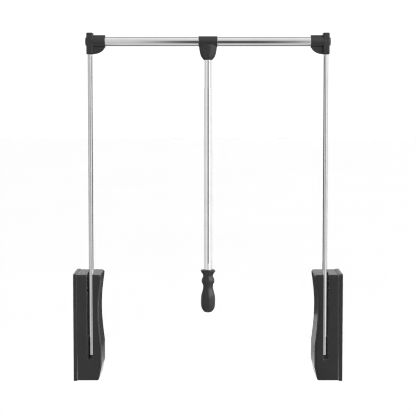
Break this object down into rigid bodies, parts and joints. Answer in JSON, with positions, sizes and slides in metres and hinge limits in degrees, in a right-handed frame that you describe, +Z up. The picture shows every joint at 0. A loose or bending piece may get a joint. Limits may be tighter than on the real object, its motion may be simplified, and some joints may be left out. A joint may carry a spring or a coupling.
{
  "type": "pull down closet rod",
  "caption": "Wall-mounted wardrobe lift: spring-loaded side units, chrome arms that swing forward with a hanging rail, and a telescopic pull rod with a grip.",
  "frame": {"origin": "midway between the two wall faces and between the wall plates' front and back edges, at the height of the wall plates' feet", "axes": "+X from the left wall unit to the right one, +Y from the front to the back of the wardrobe, +Z up"},
  "size_m": [0.657, 0.116, 0.8506],
  "materials": {
    "black_plastic": "moulded, satin, fine grain",
    "grip_plastic": "moulded, semi-gloss",
    "chrome_tube": "polished chrome plate",
    "zinc_steel": "zinc-plated steel tube",
    "bracket_steel": "pressed steel, black coated",
    "spring_steel": "drawn spring wire",
    "fastener_steel": "zinc-plated",
    "nylon": "natural nylon",
    "rubber": "matte"
  },
  "bodies": {
    "left_wall_unit": {"left_wall_plate": "black_plastic", "left_bracket": "bracket_steel", "left_cover": "black_plastic", "left_pivot_pin": "fastener_steel", "left_pivot_clip": "fastener_steel", "left_pivot_spacer_outer": "nylon", "left_pivot_spacer_inner": "nylon", "left_spring_anchor_pin": "fastener_steel", "left_rest_stop_pin": "fastener_steel", "left_lowered_stop_pin": "fastener_steel", "left_rest_bumper": "rubber", "left_lowered_bumper": "rubber", "left_bracket_screw_lower": "fastener_steel", "left_bracket_screw_upper": "fastener_steel", "left_spring": "spring_steel"},
    "left_frame": {"left_spring_pin": "fastener_steel", "left_crank_plate": "bracket_steel", "left_crank_rivet": "fastener_steel", "left_arm_tube": "chrome_tube", "left_arm_foot_cap": "black_plastic", "left_corner_connector": "black_plastic", "left_corner_cap": "black_plastic", "left_corner_screw": "fastener_steel", "left_rail_end_plug": "nylon", "left_rail_tube": "chrome_tube"},
    "rail_core": {"rail_inner_tube": "zinc_steel"},
    "right_frame": {"right_spring_pin": "fastener_steel", "right_crank_plate": "bracket_steel", "right_crank_rivet": "fastener_steel", "right_arm_tube": "chrome_tube", "right_arm_foot_cap": "black_plastic", "right_corner_connector": "black_plastic", "right_corner_cap": "black_plastic", "right_corner_screw": "fastener_steel", "right_rail_end_plug": "nylon", "right_rail_tube": "chrome_tube"},
    "right_wall_unit": {"right_wall_plate": "black_plastic", "right_bracket": "bracket_steel", "right_cover": "black_plastic", "right_pivot_pin": "fastener_steel", "right_pivot_clip": "fastener_steel", "right_pivot_spacer_outer": "nylon", "right_pivot_spacer_inner": "nylon", "right_spring_anchor_pin": "fastener_steel", "right_rest_stop_pin": "fastener_steel", "right_lowered_stop_pin": "fastener_steel", "right_rest_bumper": "rubber", "right_lowered_bumper": "rubber", "right_bracket_screw_lower": "fastener_steel", "right_bracket_screw_upper": "fastener_steel", "right_spring": "spring_steel"},
    "pull_rod_upper": {"t_connector": "black_plastic", "t_retaining_screw": "fastener_steel", "rod_fixing_screw": "fastener_steel", "upper_rod_tube": "chrome_tube", "rod_glide": "nylon"},
    "pull_rod_lower": {"lower_rod_tube": "chrome_tube", "grip": "grip_plastic", "grip_plug": "nylon", "grip_screw": "fastener_steel"}
  },
  "joints": [
    {"name": "swing", "type": "hinge", "parent": "left_wall_unit", "child": "left_frame", "pos_m": [-0.2883, -0.01, 0.068], "axis": [1, 0, 0], "range_deg": [0, 95], "stiffness_Nm_per_rad": 12, "springref_deg": -22.92, "deforming": ["left_spring"]},
    {"name": "rail_left_slide", "type": "slide", "parent": "left_frame", "child": "rail_core", "axis": [1, 0, 0], "range_m": [0, 0.086]},
    {"name": "rail_right_slide", "type": "slide", "parent": "rail_core", "child": "right_frame", "axis": [1, 0, 0], "range_m": [0, 0.086]},
    {"name": "right_pivot", "type": "hinge", "parent": "right_frame", "child": "right_wall_unit", "pos_m": [0.2883, -0.01, 0.068], "axis": [1, 0, 0], "range_deg": [-95, 0], "deforming": ["right_spring"]},
    {"name": "rod_swivel", "type": "hinge", "parent": "rail_core", "child": "pull_rod_upper", "pos_m": [0, -0.01, 0.8295], "axis": [1, 0, 0], "continuous": true},
    {"name": "rod_telescope", "type": "slide", "parent": "pull_rod_upper", "child": "pull_rod_lower", "axis": [0, 0, -1], "range_m": [-0.065, 0.33]}
  ],
  "couplings": [
    {"joint": "right_pivot", "follows": "swing", "ratio": -1}
  ]
}
